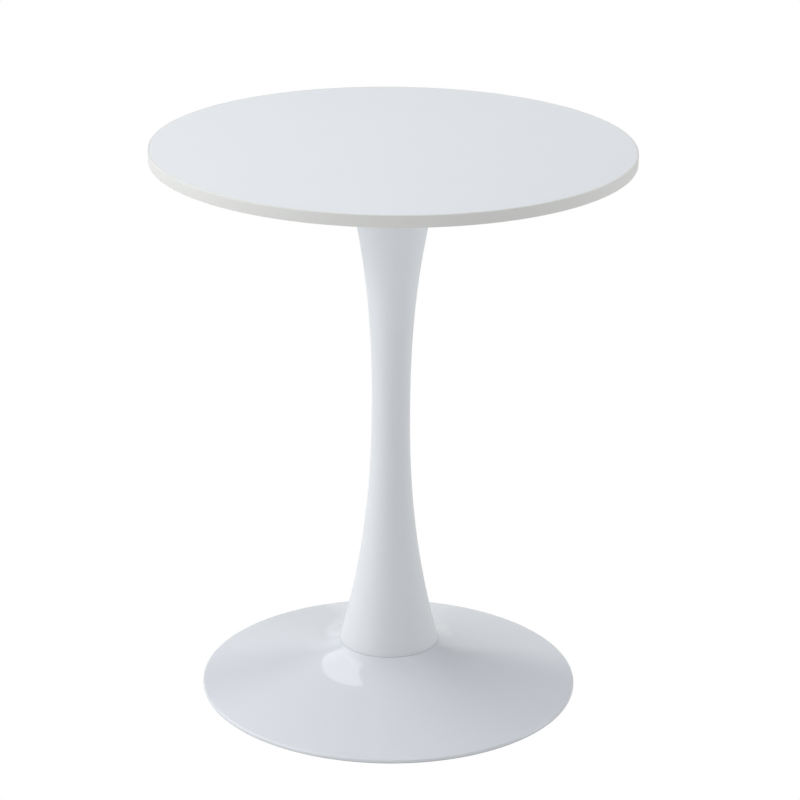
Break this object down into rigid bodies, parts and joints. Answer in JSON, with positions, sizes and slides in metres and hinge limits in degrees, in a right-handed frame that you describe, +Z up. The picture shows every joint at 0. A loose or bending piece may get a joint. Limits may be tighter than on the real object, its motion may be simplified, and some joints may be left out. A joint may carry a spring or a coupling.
{
  "type": "round pedestal table",
  "caption": "Round pedestal table: a thin white laminated board on a trumpet-shaped column and a low glossy cone base, clamped together by one tie rod.",
  "frame": {"origin": "on the floor, under the column's axis", "axes": "+Z up along the column's axis; the table is round, so X and Y are any two level directions, with a gap between two plate screws along +X"},
  "size_m": [0.6, 0.6, 0.72],
  "materials": {
    "top_laminate": "matte white high-pressure laminate",
    "edge_band": "warm white satin edge band",
    "board_core": "raw medium-density fibreboard",
    "satin_white_paint": "satin white powder coat",
    "gloss_white_paint": "high-gloss white enamel",
    "zinc_steel": "bright zinc plate",
    "black_screw": "black oxide",
    "clear_gasket": "translucent soft plastic",
    "grey_rubber": "grey rubber"
  },
  "bodies": {
    "root": {"tabletop_core": "board_core", "tabletop_face_laminate": "top_laminate", "tabletop_backing_laminate": "top_laminate", "tabletop_edge_band": "edge_band", "threaded_insert_1": "zinc_steel", "threaded_insert_2": "zinc_steel", "threaded_insert_3": "zinc_steel", "threaded_insert_4": "zinc_steel", "threaded_insert_5": "zinc_steel", "threaded_insert_6": "zinc_steel", "mounting_plate": "satin_white_paint", "plate_screw_1": "black_screw", "plate_screw_2": "black_screw", "plate_screw_3": "black_screw", "plate_screw_4": "black_screw", "plate_screw_5": "black_screw", "plate_screw_6": "black_screw", "locating_collar": "satin_white_paint", "coupling_nut": "zinc_steel", "column": "satin_white_paint", "seam_gasket": "clear_gasket", "base_cone": "gloss_white_paint", "rim_gasket": "grey_rubber", "tie_rod": "zinc_steel", "clamp_plate": "zinc_steel", "flat_washer": "zinc_steel", "lock_washer": "zinc_steel", "hex_nut": "zinc_steel"}
  },
  "joints": []
}
